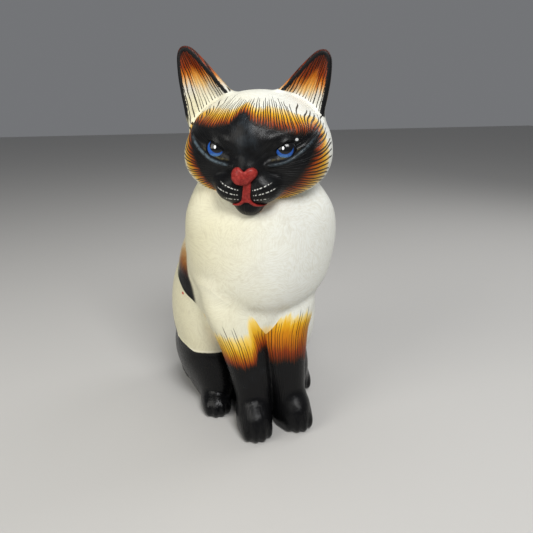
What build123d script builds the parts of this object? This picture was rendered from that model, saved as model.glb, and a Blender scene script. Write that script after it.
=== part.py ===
from build123d import *
import os

# A seated cat figurine in painted ceramic, 281 mm tall, as the pieces that are cast, pressed and luted together.
#
# The cat sits facing -Y with its head turned to its own right (-X). The origin is on the table under the middle of
# the base, +Z is up. The torso and the head are hollow slip-cast shells: the neck of the torso stands in the open
# underside of the head, and a slab with a vent hole closes the torso's foot. The ears, forelegs, thighs, hind feet,
# tail, eyes, nose and mouth are solid pressed pieces, seated on the shells and held by short tenons.

# Driving dimensions, in millimetres
WALL = 5.0  # thickness of the cast shells
VENT_R = 4.0  # vent hole through the base slab
SLAB_T = 6.0  # thickness of the base slab
TENON_R = 4.0  # round tenons on the ears, forelegs and tail
TENON_LENGTH = 12.0
TENON_GAP = 0.2  # slip-filled clearance round a tenon
RELIEF = 1.2  # how far the mouth stands off the muzzle
NOSE_RELIEF = 2.6  # how far the nose stands off the muzzle

# Torso: (height, middle in X, middle in Y, half width, half depth) from the foot to the neck
TORSO = [
    (0, 0, 22, 29, 42),
    (30, 0, 22, 34, 46),
    (60, -1.5, 15, 41, 50),
    (90, -1, 8, 47.5, 58),
    (120, 2.5, 1, 55.5, 58),
    (148, 3, -8, 58.5, 53),
    (170, 2, -13, 54, 44),
    (187, 0, -16, 43, 34),
    (202, 0, -15, 30, 26),
]

# Head: its own frame stands at HEAD_AT, turned HEAD_TURN degrees about +Z
HEAD_AT = (0, -18, 214)
HEAD_TURN = -26.0
SKULL = ((0, 3, 0), (53.5, 46, 39.5))  # centre and half sizes, in the head's frame
CHEEK = ((27, -12, -9), (26, 28, 25))  # mirrored to the other side
FACE = ((0, -24, -4), (35, 22, 29))
BRIDGE = ((0, -38, -4), (12, 17, 14))
PAD = ((10.5, -43, -22), (13, 12, 10))  # whisker pad, mirrored
CHIN = ((0, -38, -33), (11.5, 11, 8.5))
EYE = ((22.5, -36.5, 1.5), 8.0)  # centre and radius, mirrored
EYE_BACK = -37.0  # the eye pellets are flat behind this Y
EYES_SET_OVER = 1.2  # the pair of eyes is set a little to the cat's left
NOSE_AT = (-0.8, -13.0)  # middle of the heart, in X and Z
NOSE_LOBE_R = 4.6
NOSE_LOBE_UP = 2.0  # the lobes' middles above the heart's
NOSE_HALF_W = 8.6  # at the height of the heart's middle
NOSE_NOTCH_UP = 4.0  # the dip between the lobes above the heart's middle
NOSE_POINT_DOWN = 7.0  # the heart's point below its middle
PHILTRUM_TOP = -18.0  # under the nose
PHILTRUM_W = 5.0
MOUTH_Z = -31.0
LIP = [(0, -29), (6, -32), (12, -30)]  # the left lip's arc in X and Z, mirrored
LIP_W = 2.6
CUTTER_FROM = 30.0  # the prisms that cut out the nose and the mouth start this far in front of the middle
CUTTER_LENGTH = 40.0

# Ears: (height, middle in X, half width, half thickness), upright on the right of the head's frame
EAR = [
    (8, 30.5, 18, 9.0),
    (20, 31.5, 19.5, 9.0),
    (34, 34.5, 18.5, 7.5),
    (48, 40.5, 13.8, 5.5),
    (60, 46, 8.6, 4.2),
    (66.5, 48, 3.6, 2.0),
]
EAR_Y = 0.0
EAR_SET_OVER = -3.4  # the pair of ears is set a little to the cat's right
EAR_SCOOP = ((37, -15, 38), (12.5, 13.5, 25))  # the hollow of the ear
EAR_TENON_AT = (36, 3, 28)

# Forelegs: (height, middle in X, middle in Y, half width, half depth), with X measured outwards from the plane the
# two legs meet on
FORELEG = [
    (0, 14.5, -45, 13, 14),
    (22, 14, -45, 14, 13),
    (50, 14, -43, 16, 14),
    (76, 17, -40, 19, 16.5),
    (96, 23, -38, 20, 17),
    (114, 28, -30, 13.5, 14),
]
LEG_PARTING = 1.5  # X of the plane the forelegs meet on, at the ankles
LEG_LEAN = 0.1  # how far that plane leans to the cat's right for each millimetre up
LEAN_BETWEEN = (20, 80)  # the legs lean between these heights
FOREPAW = ((17, -53, 9.5), (12.3, 17, 13))
RIGHT_FOREPAW_FORWARD = 3.5  # the cat's right forepaw is set further forward
LEG_TENON_AT = {1: (19.5, -45, 92), -1: (-28.5, -40, 92)}  # the cat's left and right

# Hindquarters, for the cat's left side
THIGH = ((36, 28, 80), (26, 47, 54))
THIGH_FOOT_Z = 48.0  # the thigh ends in a ledge over the hind foot
THIGH_TENON_AT = (46, 28, 86)
HOCK = ((35, 27, 24), (21, 46, 44))
HIND_PAW = ((37.5, -13, 8), (11, 18, 12))
LEFT_HIND_PAW_BACK = 12.0  # the cat's left hind foot is set further back

# Toes, shared by all four paws: (offset in X, distance behind the paw's front)
TOES = [(-8.0, 8.5), (-2.8, 5.0), (2.8, 5.0), (8.0, 8.5)]
TOE = (3.3, 7.0, 6.0)  # half sizes of a toe
TOE_Z = 5.5

# Tail: a tapered roll that leaves the rump and lies along the cat's right hind foot
TAIL_ROUTE = [(6, 62, 27), (-20, 75, 14), (-42, 69, 9.5), (-52, 52, 8.6), (-53, 33, 7.5)]
TAIL_R = [9.0, 9.5, 9.0, 8.0, 6.5]
TAIL_TENON_AT = (0, 66, 24)

TABLE = Plane.XY


def ellipsoid(centre, half_sizes):
    """A solid ellipsoid with its axes along X, Y and Z."""
    return Pos(*centre) * scale(Sphere(1, mode=Mode.PRIVATE), by=half_sizes, mode=Mode.PRIVATE)


def mirrored(shape):
    """The same shape on the other side of the YZ plane."""
    return mirror(shape, about=Plane.YZ, mode=Mode.PRIVATE)


def in_head(shape):
    """A shape from the head's own frame, in the cat's frame."""
    return Pos(*HEAD_AT) * Rot(0, 0, HEAD_TURN) * shape


def torso_form(inset):
    """The torso as a lofted solid, drawn in by inset all round."""
    with BuildPart() as form:
        for z, x, y, half_x, half_y in TORSO:
            with BuildSketch(Plane.XY.offset(z)):
                with Locations((x, y)):
                    Ellipse(half_x - inset, half_y - inset)
        loft()
    return form.part


def head_form(grow):
    """The head without its ears, each ellipsoid grown by the same amount."""
    form = None
    for (centre, sizes), paired in [
        (SKULL, False),
        (CHEEK, True),
        (FACE, False),
        (BRIDGE, False),
        (PAD, True),
        (CHIN, False),
    ]:
        lump = ellipsoid(centre, tuple(s + grow for s in sizes))
        form = lump if form is None else form + lump
        if paired:
            form = form + mirrored(lump)
    return form


def ear_form():
    """The cat's left ear as a lofted horn with a scooped front, in the head's frame."""
    with BuildPart() as ear:
        for z, x, half_x, half_y in EAR:
            with BuildSketch(Plane.XY.offset(z)):
                with Locations((x, EAR_Y)):
                    Ellipse(half_x, half_y)
        loft()
        add(ellipsoid(*EAR_SCOOP), mode=Mode.SUBTRACT)
    return ear.part


def paw_form(centre, sizes):
    """A paw with its four toes."""
    x, y, z = centre
    paw = ellipsoid(centre, sizes)
    for across, back in TOES:
        paw = paw + ellipsoid((x + across, y - sizes[1] + back, TOE_Z), TOE)
    return paw


def foreleg_form(side, paw_forward):
    """A foreleg with its paw, before it is fitted to the torso; side is 1 for the cat's left."""
    (paw_x, paw_y, paw_z), paw_sizes = FOREPAW
    low, high = LEAN_BETWEEN
    parting = Plane(origin=(LEG_PARTING, 0, low), z_dir=(side, 0, side * LEG_LEAN))
    with BuildPart() as leg:
        for z, x, y, half_x, half_y in FORELEG:
            lean = LEG_LEAN * (min(max(z, low), high) - low)
            with BuildSketch(Plane.XY.offset(z)):
                with Locations((LEG_PARTING - lean + side * x, y)):
                    Ellipse(half_x, half_y)
        loft()
        add(paw_form((LEG_PARTING + side * paw_x, paw_y - paw_forward, paw_z), paw_sizes))
        split(bisect_by=TABLE, keep=Keep.TOP)
        split(bisect_by=parting, keep=Keep.TOP)
    return leg.part


def hind_foot_form(paw_back):
    """The cat's left hind foot and hock, before it is fitted to the torso."""
    (paw_x, paw_y, paw_z), paw_sizes = HIND_PAW
    with BuildPart() as foot:
        add(ellipsoid(*HOCK))
        add(paw_form((paw_x, paw_y + paw_back, paw_z), paw_sizes))
        split(bisect_by=TABLE, keep=Keep.TOP)
        split(bisect_by=Plane.XY.offset(THIGH_FOOT_Z), keep=Keep.BOTTOM)
    return foot.part


def thigh_form():
    """The cat's left thigh, cut off in a ledge above the foot."""
    with BuildPart() as thigh:
        add(ellipsoid(*THIGH))
        split(bisect_by=Plane.XY.offset(THIGH_FOOT_Z), keep=Keep.TOP)
    return thigh.part


def tail_form():
    """The tail, lofted through circles set square to its route."""
    route = Spline(*TAIL_ROUTE, mode=Mode.PRIVATE)
    with BuildPart() as tail:
        for at, radius in zip(TAIL_ROUTE, TAIL_R):
            where = route.param_at_point(at)
            with BuildSketch(Plane(origin=at, z_dir=route.tangent_at(where))):
                Circle(radius)
        loft()
        add(Pos(*TAIL_ROUTE[-1]) * Sphere(TAIL_R[-1], mode=Mode.PRIVATE))
        split(bisect_by=TABLE, keep=Keep.TOP)
    return tail.part


def tenon(at, z_dir, radius):
    """A round tenon of that radius, running both ways from its point."""
    middle = Plane(origin=at, z_dir=z_dir)
    return middle * Cylinder(radius, TENON_LENGTH, mode=Mode.PRIVATE)


def nose_outline():
    """The heart of the nose as a prism along the head's Y, in front of the face."""
    with BuildPart() as prism:
        with BuildSketch(Plane.XZ.offset(CUTTER_FROM)):
            x, z = NOSE_AT
            with Locations((x - NOSE_LOBE_R, z + NOSE_LOBE_UP), (x + NOSE_LOBE_R, z + NOSE_LOBE_UP)):
                Circle(NOSE_LOBE_R)
            with BuildLine():
                Polyline(
                    (x - NOSE_HALF_W, z),
                    (x, z - NOSE_POINT_DOWN),
                    (x + NOSE_HALF_W, z),
                    (x, z + NOSE_NOTCH_UP),
                    close=True,
                )
            make_face()
        extrude(amount=CUTTER_LENGTH)
    return prism.part


def mouth_outline():
    """The line under the nose and the two lips as a prism along the head's Y."""
    with BuildPart() as prism:
        with BuildSketch(Plane.XZ.offset(CUTTER_FROM)):
            with Locations((0, (PHILTRUM_TOP + MOUTH_Z) / 2)):
                Rectangle(PHILTRUM_W, PHILTRUM_TOP - MOUTH_Z)
            for side in (-1, 1):
                with BuildLine() as lip:
                    ThreePointArc(*[(side * x, z) for x, z in LIP])
                trace(lip.line, line_width=LIP_W)
        extrude(amount=CUTTER_LENGTH)
    return prism.part


# Shapes that more than one piece is fitted to
torso_solid = torso_form(0)
torso_cavity = torso_form(WALL)
head_solid = in_head(head_form(0))
skull_cavity = in_head(ellipsoid(SKULL[0], tuple(s - WALL for s in SKULL[1])))


def ear_tenon(side, radius):
    """The upright tenon of an ear; side is 1 for the cat's left."""
    x, y, z = EAR_TENON_AT
    return in_head(tenon((EAR_SET_OVER + side * x, y, z), (0, 0, 1), radius))


def leg_tenon(side, radius):
    """The tenon of a foreleg, running back into the torso."""
    return tenon(LEG_TENON_AT[side], (0, 1, 0), radius)


def thigh_tenon(side, radius):
    """The tenon of a thigh, running across into the torso."""
    x, y, z = THIGH_TENON_AT
    return tenon((side * x, y, z), (1, 0, 0), radius)


def tail_tenon(radius):
    """The tenon of the tail, running forward into the torso."""
    return tenon(TAIL_TENON_AT, (0, 1, 0), radius)


def eye_ball(side):
    """An eye pellet: the front of a sphere, flat behind."""
    (x, y, z), radius = EYE
    with BuildPart() as ball:
        with Locations((EYES_SET_OVER + side * x, y, z)):
            Sphere(radius)
        split(bisect_by=Plane.XZ.offset(-EYE_BACK), keep=Keep.TOP)
    return in_head(ball.part)


os.makedirs("parts", exist_ok=True)


def write(part, name):
    """Labels a finished piece and writes it."""
    part.label = name
    export_step(part, f"parts/{name}.step")


# The torso, open at the neck and at the foot
with BuildPart() as body_shell:
    add(torso_solid)
    add(torso_cavity, mode=Mode.SUBTRACT)
    for side in (1, -1):
        add(leg_tenon(side, TENON_R + TENON_GAP), mode=Mode.SUBTRACT)
        add(thigh_tenon(side, TENON_R + TENON_GAP), mode=Mode.SUBTRACT)
    add(tail_tenon(TENON_R + TENON_GAP), mode=Mode.SUBTRACT)
write(body_shell.part, "body_shell")

# The slab that closes the foot, with its vent hole
with BuildPart() as base_plate:
    add(torso_cavity)
    split(bisect_by=Plane.XY.offset(SLAB_T), keep=Keep.BOTTOM)
    with BuildSketch(Plane.XY):
        with Locations((0, TORSO[0][2])):
            Circle(VENT_R)
    extrude(amount=SLAB_T, mode=Mode.SUBTRACT)
write(base_plate.part, "base_plate")

# The head, seated over the neck of the torso
with BuildPart() as head_shell:
    add(head_solid)
    for side in (1, -1):
        add(eye_ball(side), mode=Mode.SUBTRACT)
    add(skull_cavity, mode=Mode.SUBTRACT)
    add(torso_solid, mode=Mode.SUBTRACT)
    for side in (1, -1):
        add(ear_tenon(side, TENON_R + TENON_GAP), mode=Mode.SUBTRACT)
write(head_shell.part, "head_shell")

# The ears, one each side
for side, name in ((1, "ear_left"), (-1, "ear_right")):
    with BuildPart() as ear:
        horn = ear_form()
        add(in_head(Pos(EAR_SET_OVER, 0, 0) * (horn if side > 0 else mirrored(horn))))
        add(head_solid, mode=Mode.SUBTRACT)
        add(ear_tenon(side, TENON_R))
    write(ear.part, name)

# The eyes, pressed into their sockets
for side, name in ((1, "eye_left"), (-1, "eye_right")):
    with BuildPart() as eye:
        add(eye_ball(side))
    write(eye.part, name)

# The nose and the mouth, cut from the muzzle's own surface set forward
with BuildPart() as nose:
    add(in_head(head_form(NOSE_RELIEF)))
    add(in_head(nose_outline()), mode=Mode.INTERSECT)
    add(head_solid, mode=Mode.SUBTRACT)
write(nose.part, "nose")

with BuildPart() as mouth:
    add(in_head(head_form(RELIEF)))
    add(in_head(mouth_outline()), mode=Mode.INTERSECT)
    add(head_solid, mode=Mode.SUBTRACT)
    add(nose.part, mode=Mode.SUBTRACT)
    add(torso_solid, mode=Mode.SUBTRACT)
write(mouth.part, "mouth")

# The forelegs with their paws, each held by a tenon in the chest
for side, name in ((1, "foreleg_left"), (-1, "foreleg_right")):
    with BuildPart() as foreleg:
        add(foreleg_form(side, 0 if side > 0 else RIGHT_FOREPAW_FORWARD))
        add(torso_solid, mode=Mode.SUBTRACT)
        add(leg_tenon(side, TENON_R))
    write(foreleg.part, name)

# The thighs, each a pad on the flank with a ledge at its foot
for side, name in ((1, "thigh_left"), (-1, "thigh_right")):
    with BuildPart() as thigh:
        pad = thigh_form()
        add(pad if side > 0 else mirrored(pad))
        add(torso_solid, mode=Mode.SUBTRACT)
        add(thigh_tenon(side, TENON_R))
    write(thigh.part, name)

# The hind feet, under the thighs
hind_feet = []
for side, name in ((1, "hind_foot_left"), (-1, "hind_foot_right")):
    with BuildPart() as hind_foot:
        foot = hind_foot_form(LEFT_HIND_PAW_BACK if side > 0 else 0)
        add(foot if side > 0 else mirrored(foot))
        add(torso_solid, mode=Mode.SUBTRACT)
    write(hind_foot.part, name)
    hind_feet.append(hind_foot.part)

# The tail, round the cat's right side
with BuildPart() as tail:
    add(tail_form())
    add(torso_solid, mode=Mode.SUBTRACT)
    for foot in hind_feet:
        add(foot, mode=Mode.SUBTRACT)
    add(tail_tenon(TENON_R))
write(tail.part, "tail")
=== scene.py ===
import math
from functools import partialmethod

import bmesh
import bpy
import numpy as np
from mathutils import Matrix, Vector


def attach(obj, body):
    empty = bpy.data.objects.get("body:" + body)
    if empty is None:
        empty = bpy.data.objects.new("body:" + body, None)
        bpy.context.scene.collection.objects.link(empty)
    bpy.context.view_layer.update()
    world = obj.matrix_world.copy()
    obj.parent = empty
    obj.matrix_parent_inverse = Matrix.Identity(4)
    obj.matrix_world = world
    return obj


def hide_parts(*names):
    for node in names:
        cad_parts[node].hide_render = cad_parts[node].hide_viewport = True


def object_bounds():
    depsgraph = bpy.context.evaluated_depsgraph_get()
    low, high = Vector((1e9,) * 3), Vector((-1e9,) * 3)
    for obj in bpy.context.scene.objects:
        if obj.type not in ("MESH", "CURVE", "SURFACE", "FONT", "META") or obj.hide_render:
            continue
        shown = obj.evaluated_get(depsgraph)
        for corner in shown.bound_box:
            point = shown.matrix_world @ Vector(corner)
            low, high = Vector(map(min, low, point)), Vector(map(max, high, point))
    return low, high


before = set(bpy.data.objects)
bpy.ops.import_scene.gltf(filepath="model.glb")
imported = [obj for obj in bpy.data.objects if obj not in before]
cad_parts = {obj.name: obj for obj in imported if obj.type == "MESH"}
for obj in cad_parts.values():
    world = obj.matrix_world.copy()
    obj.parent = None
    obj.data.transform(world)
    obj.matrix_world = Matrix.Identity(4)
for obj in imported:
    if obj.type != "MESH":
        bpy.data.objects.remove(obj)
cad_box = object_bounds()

# A seated cat figurine in painted ceramic. Shapes are smooth fields in millimetres, turned into meshes, cut
# into the record's pieces and painted with procedural materials. The cat faces -Y.

MM = 0.001
CELL = 1.1  # mesh spacing on the body
FINE = 0.75  # mesh spacing on the head
DETAIL = 0.5  # mesh spacing on the eyes, nose and mouth
TURNED_IN = 1.2  # how deep the cut edge of a piece is turned inwards
FAR = 1e9  # further than any distance here

# ---- fields
# Every surface is the zero level of a field in millimetres, negative inside.


def smin(a, b, k):
    """The smaller of two fields, blended over k millimetres."""
    h = np.maximum(k - np.abs(a - b), 0.0) / k
    return np.minimum(a, b) - h * h * k * 0.25


def smax(a, b, k):
    """The larger of two fields, blended over k millimetres."""
    return -smin(-a, -b, k)


def step(lo, hi, x):
    """Smooth 0 to 1 as x goes from lo to hi."""
    t = np.clip((x - lo) / (hi - lo), 0.0, 1.0)
    return t * t * (3 - 2 * t)


def blob(p, centre, half):
    """An ellipsoid."""
    q, half = p - np.array(centre), np.array(half, float)
    k0 = np.sqrt(((q / half) ** 2).sum(1))
    k1 = np.sqrt(((q / half**2) ** 2).sum(1))
    return k0 * (k0 - 1) / np.maximum(k1, 1e-6)


def track(t, knots, values):
    """Smooth curve through values at the knots, held flat beyond the ends."""
    knots, values = np.array(knots, float), np.array(values, float)
    slope = np.gradient(values, knots)
    t = np.clip(t, knots[0], knots[-1])
    i = np.clip(np.searchsorted(knots, t) - 1, 0, len(knots) - 2)
    h = knots[i + 1] - knots[i]
    s = (t - knots[i]) / h
    a, b = values[i], values[i + 1]
    da, db = slope[i] * h, slope[i + 1] * h
    start = ((2 * s - 3) * s * s + 1) * a + ((s - 2) * s + 1) * s * da
    return start + (3 - 2 * s) * s * s * b + (s - 1) * s * s * db


def loft(p, rows, power=2.0):
    """A column whose sections are ellipses; rows are (z, x, y, half x, half y)."""
    rows = np.array(rows, float)
    cx, cy, rx, ry = (track(p[:, 2], rows[:, 0], rows[:, i]) for i in (1, 2, 3, 4))
    u, v = np.abs(p[:, 0] - cx) / rx, np.abs(p[:, 1] - cy) / ry
    k0 = (u**power + v**power) ** (1 / power) + 1e-6
    k1 = np.sqrt((u ** (power - 1) / rx) ** 2 + (v ** (power - 1) / ry) ** 2) / k0 ** (power - 1)
    return (k0 - 1) / np.maximum(k1, 1e-3)


def tube(p, points, radii, rounds=24):
    """A rope through the points with a radius at each."""
    points, radii = np.array(points, float), np.array(radii, float)
    t = np.linspace(0, len(points) - 1, rounds)
    knots = np.arange(len(points))
    path = np.stack([track(t, knots, points[:, i]) for i in range(3)], 1)
    r = track(t, knots, radii)
    best = np.full(len(p), FAR)
    for a, b, ra, rb in zip(path[:-1], path[1:], r[:-1], r[1:]):
        ab = b - a
        s = np.clip(((p - a) @ ab) / (ab @ ab), 0, 1)
        d = np.linalg.norm(p - a - s[:, None] * ab, axis=1) - (ra + (rb - ra) * s)
        best = np.minimum(best, d)
    return best


def line_distance(u, v, line):
    """Distance in a plane from (u, v) to an open line of points, and how far along it, 0 to 1."""
    line = np.array(line, float)
    best, where = np.full(len(u), FAR), np.zeros(len(u))
    for i, (a, b) in enumerate(zip(line[:-1], line[1:])):
        ab = b - a
        s = np.clip(((u - a[0]) * ab[0] + (v - a[1]) * ab[1]) / (ab @ ab), 0, 1)
        d = np.hypot(u - a[0] - s * ab[0], v - a[1] - s * ab[1])
        hit = d < best
        best[hit] = d[hit]
        where[hit] = ((i + s) / (len(line) - 1))[hit]
    return best, where


def smooth_line(points, count=48, closed=False):
    """More points along a smooth curve through the given ones."""
    points = [tuple(q) for q in points]
    if closed:
        points = points[-2:] + points + points[:3]
    pts = np.array(points, float)
    knots = np.arange(len(pts))
    t = np.linspace(2, len(pts) - 3, count) if closed else np.linspace(0, len(pts) - 1, count)
    return np.stack([track(t, knots, pts[:, i]) for i in range(pts.shape[1])], 1)


# ---- head
HEAD_AT = np.array((0.0, -18.0, 214.0))
HEAD_TURN = math.radians(-26)
COS, SIN = math.cos(HEAD_TURN), math.sin(HEAD_TURN)
HEAD_AXES = np.array(((COS, SIN, 0), (-SIN, COS, 0), (0, 0, 1)))
EYES_MIDDLE = 1.2  # the eyes are painted and pressed a little to the cat's left of the nose
EYE_OUT = 22.4
EYE_PLACE = {side: np.array((EYES_MIDDLE + side * EYE_OUT, -36.6, 2.0)) for side in (1, -1)}
EYE_HALF = (8.3, 7.6, 7.4)

# Ellipsoids in the head's frame: (centre, half sizes)
SKULL = ((0.5, 3, 0), (52.3, 46, 39.5))
UPPER_LID = ((EYE_OUT, -36.4, 2.4), (9.4, 9.3, 8.8))
# Blended onto the skull in turn: centre, half sizes, blend, and the middle a pair is mirrored about
HEAD_LUMPS = {
    "cheeks": ((25.5, -12, -7.5), (25.2, 27.5, 21), 10, 0.5),
    "face": ((1.5, -24, -4), (40, 22, 31), 10, None),
    "bridge up to the forehead": ((0, -33, 1), (13, 15, 24), 12, None),
    "end of the nose": ((0, -41, -11), (9.5, 12.5, 8), 6, None),
    "chin": ((0, -37, -34), (10, 11.5, 8.3), 6, None),
    "whisker pads": ((9.5, -41.5, -22.5), (12.5, 12, 10), 6.5, 0.0),
}
BROW_CREST = ((0, 9, 24, 43), (7, 7, 13.5, 19))  # out from between the eyes, and the height there
# Pressed into each side of the face: depth, middle and width across, the same upwards, tilt
EYE_SOCKET = (2.9, 23.5, 11.5, 1.5, 5.2, 0.25)
BESIDE_NOSE = (1.6, 12.5, 4, -1.5, 6, 0.0)
UNDER_EYE = (0.9, 17, 6, -12.5, 3, 0.0)
# The raised rim under the eye, from the outer corner in to the nose
LID_RIM = smooth_line([(43, 11), (38, 5), (33, 0.5), (26.5, -4), (19.5, -6.5), (12.5, -7.5)], 20)


def to_head(p):
    """Points from the cat's frame to the head's own."""
    return (p - HEAD_AT) @ HEAD_AXES.T


def from_head(q):
    """Points from the head's own frame to the cat's."""
    return q @ HEAD_AXES + HEAD_AT


def both(q, middle):
    """The same points with X measured outwards from a middle, on both sides alike."""
    r = q.copy()
    r[:, 0] = np.abs(q[:, 0] - middle)
    return r


def dimple(x, z, depth, across, width, up, height, tilt):
    """A soft round mark in the face, in millimetres deep."""
    return depth * np.exp(-(((x - across) / width) ** 2) - ((z - up - tilt * (x - across)) / height) ** 2)


def head_base(q):
    """The head with its muzzle but without brows, eyes or ears."""
    f = blob(q, *SKULL)
    for centre, half, blend, middle in HEAD_LUMPS.values():
        lump = blob(q if middle is None else both(q, middle), centre, half)
        f = smin(f, lump, blend)
    return f


def head_field(q):
    """The finished head without ears."""
    m = both(q, EYES_MIDDLE)
    x, z = m[:, 0], m[:, 2]
    front = step(-4, -16, q[:, 1])
    brow = np.exp(-(((z - np.interp(x, *BROW_CREST)) / 6) ** 2))
    f = head_base(q) - 1.9 * brow * front * step(5, 16, x) * step(52, 38, x)
    f = f + dimple(x, z, *EYE_SOCKET) * front
    rim, _ = line_distance(x, z, LID_RIM)
    f = f - 1.5 * np.exp(-((rim / 1.7) ** 2)) * front
    under_lid = (6.6 + 0.5 * (x - 23) - 0.012 * (x - 24) ** 2 - z) * 0.88
    f = smin(f, smax(blob(m, *UPPER_LID), under_lid, 0.8), 2.6)
    f = f + dimple(x, z, *BESIDE_NOSE) * front
    return f + dimple(x, z, *UNDER_EYE) * front


# Outline of an ear in the head's X and Z, from its inner base round the tip to its outer base
EAR_OUTLINE = [
    (5.5, 24), (13, 34), (22.5, 44), (31.5, 54), (38.8, 61.5), (45.0, 66.4), (51.0, 66.6), (54.4, 61),
    (54.4, 49), (53, 38), (51, 27), (49, 17), (44, 10), (30, 8), (18, 12),
]
EARS = {-1: (-3.3, 1.2), 1: (-4.0, -2.0)}  # side: (shift in X, shift in Z at the tip)
EAR_GRID_FROM, EAR_GRID_STEP = -20.0, 0.5
ear_grid = {}


def inside_outline(u, v, outline):
    """Signed distance in a plane to a closed smooth outline, negative inside."""
    ring = smooth_line(outline, 96, closed=True)
    away, _ = line_distance(u, v, ring)
    inside = np.zeros(len(u), bool)
    for (a, b), (c, d) in zip(ring[:-1], ring[1:]):
        crosses = (b > v) != (d > v)
        inside ^= crosses & (u < (c - a) * (v - b) / (d - b + 1e-12) + a)
    return np.where(inside, -away, away)


def ear_coordinates(q, side):
    """Ear frame: X outwards from the head's middle, and Z stretched so that both ears share one outline."""
    shift, lift = EARS[side]
    x = side * (q[:, 0] - shift)
    z = q[:, 2] - lift * np.clip((q[:, 2] - 25) / 40, 0, 1)
    return x, z


def ear_section(up):
    """Half the thickness of an ear and the Y of its middle; up is 0 at the foot and 1 at the tip."""
    return 6.5 - 3.6 * up, 2.0 - 3.0 * up


def ear_field(q, side):
    """One ear: a plate with a scooped front, thick at the foot and thin at the tip."""
    x, z = ear_coordinates(q, side)
    edge = ear_edge(x, z)
    up = np.clip((z - 15) / 50, 0, 1)
    half, middle = ear_section(up)
    scoop = (6.5 - 2.2 * up) * step(2.4, 11, -edge)
    back = q[:, 1] - middle - half
    bulge = 2.5 * step(0, 16, -edge) * (1 - 0.5 * up)
    front = middle - half - q[:, 1] + scoop
    plate = smax(front, back - bulge, 2.5)
    return smax(edge, plate, 3.0)


def ear_edge(x, z):
    """Signed distance to the ear's outline, read off a grid that is worked out once."""
    if not ear_grid:
        gx = np.arange(EAR_GRID_FROM, 80, EAR_GRID_STEP)
        gz = np.arange(EAR_GRID_FROM, 90, EAR_GRID_STEP)
        u, v = np.meshgrid(gx, gz, indexing="ij")
        d = inside_outline(u.ravel(), v.ravel(), EAR_OUTLINE).reshape(u.shape)
        for _ in range(4):  # rounds off the kinks of the outline
            d[1:-1] = (d[:-2] + 2 * d[1:-1] + d[2:]) / 4
            d[:, 1:-1] = (d[:, :-2] + 2 * d[:, 1:-1] + d[:, 2:]) / 4
        ear_grid["d"] = d
    d = ear_grid["d"]
    total = 0.0
    for shift in (-0.4, 0.4):
        i = np.clip((x - EAR_GRID_FROM) / EAR_GRID_STEP + shift, 0, d.shape[0] - 1.001)
        j = np.clip((z - EAR_GRID_FROM) / EAR_GRID_STEP + shift, 0, d.shape[1] - 1.001)
        a, b = i.astype(int), j.astype(int)
        s, t = i - a, j - b
        low = d[a, b] * (1 - s) + d[a + 1, b] * s
        high = d[a, b + 1] * (1 - s) + d[a + 1, b + 1] * s
        total = total + low * (1 - t) + high * t
    return total / 2


def whole_head(q):
    """Head and ears as one surface."""
    f = head_field(q)
    for side in (-1, 1):
        f = smin(f, ear_field(q, side), 5.0)
    return f


# ---- body
# Sections of the torso: (z, x, y, half x, half y)
TORSO = [
    (0, 0, 22, 29, 42), (30, 0, 22, 34, 46), (60, -1.5, 15, 41, 50), (90, -1.0, 4, 47.5, 50),
    (120, 2.5, -7, 55.5, 50), (148, 3, -14, 58.5, 47), (170, 2, -16, 55.5, 42), (187, 0, -16, 46, 35),
    (202, -1, -15, 34, 28),
]
TORSO_TOP = 199.0
WALL = 5.0
FOOT_HOLLOW = 7.0  # how far up the torso's foot is open, to take the base plate
LEG_PARTING = 1.5
LEG_LEAN = 6.0  # how far the tops of both forelegs are set over to the cat's right
LEG_TOP = 117.0
FORELEG = [
    (0, 14.5, -45, 13, 13), (22, 14, -45, 13.5, 12.5), (50, 14.5, -43, 16, 14),
    (76, 17, -39, 19, 16.5), (96, 23, -34, 20, 16.5), (114, 30, -28, 15, 13),
]
# Paws: half sizes, a toe's radius and the distance between toes
FOREPAW = ((12.2, 15.5, 15), 5.5, 5.6)
HIND_PAW = ((11.5, 17, 12), 5.2, 5.2)
LEG_RADIUS = 16.0  # turns the angle round a leg into millimetres
FOREPAW_AT = {1: (17, -53, 11.5), -1: (17, -56, 11.5)}
HIND_PAW_AT = {1: (39.3, 3.5, 12), -1: (37.5, -13, 8)}
TOES = ((-1.5, 3.4), (-0.5, 0), (0.5, 0), (1.5, 3.4))  # across, in distances between toes, and set back
TAIL_ROUTE = [(6, 62, 27), (-18, 74, 14), (-37, 69, 9.5), (-47, 55, 8.6), (-47.5, 38, 7.5)]
TAIL_R = [9.5, 9.8, 9.2, 8.2, 6.5]
# Outwards: (middle, half width) of the thigh, the same for the haunch, and the hock's middle
HAUNCHES = {1: ((33.2, 26.6), (29.5, 21.8), 29), -1: ((35.8, 27.2), (35.2, 27.2), 33)}
THIGH_LEAN = 0.07  # how much further out the left thigh is for each millimetre down
LEDGE = 40.0  # height of the left thigh's ledge in front
RIGHT_LEDGE_FRONT, RIGHT_LEDGE_REAR = 8.0, 14.0  # how much higher it is on the cat's right


def sided(p, side):
    """The same points with X measured outwards on that side of the cat."""
    return p * np.array((side, 1.0, 1.0))


def paw_field(r, centre, half, toe_r, spread):
    """A paw with four toes; X of r is already outwards."""
    x, y, _ = centre
    toes = np.full(len(r), FAR)
    for across, back in TOES:
        at = (x + across * spread, y - half[1] + toe_r * 0.95 + back, 6.0)
        toes = np.minimum(toes, blob(r, at, (spread * 0.56, toe_r * 1.25, 6.2)))
    return smin(blob(r, centre, half), toes, 4.6)


def leg_side(p, side):
    """X measured outwards from the plane the forelegs meet on, which leans to the cat's right going up."""
    r = p.copy()
    r[:, 0] = side * (p[:, 0] - LEG_PARTING + LEG_LEAN * np.clip((p[:, 2] - 20) / 60, 0, 1))
    return r


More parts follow.
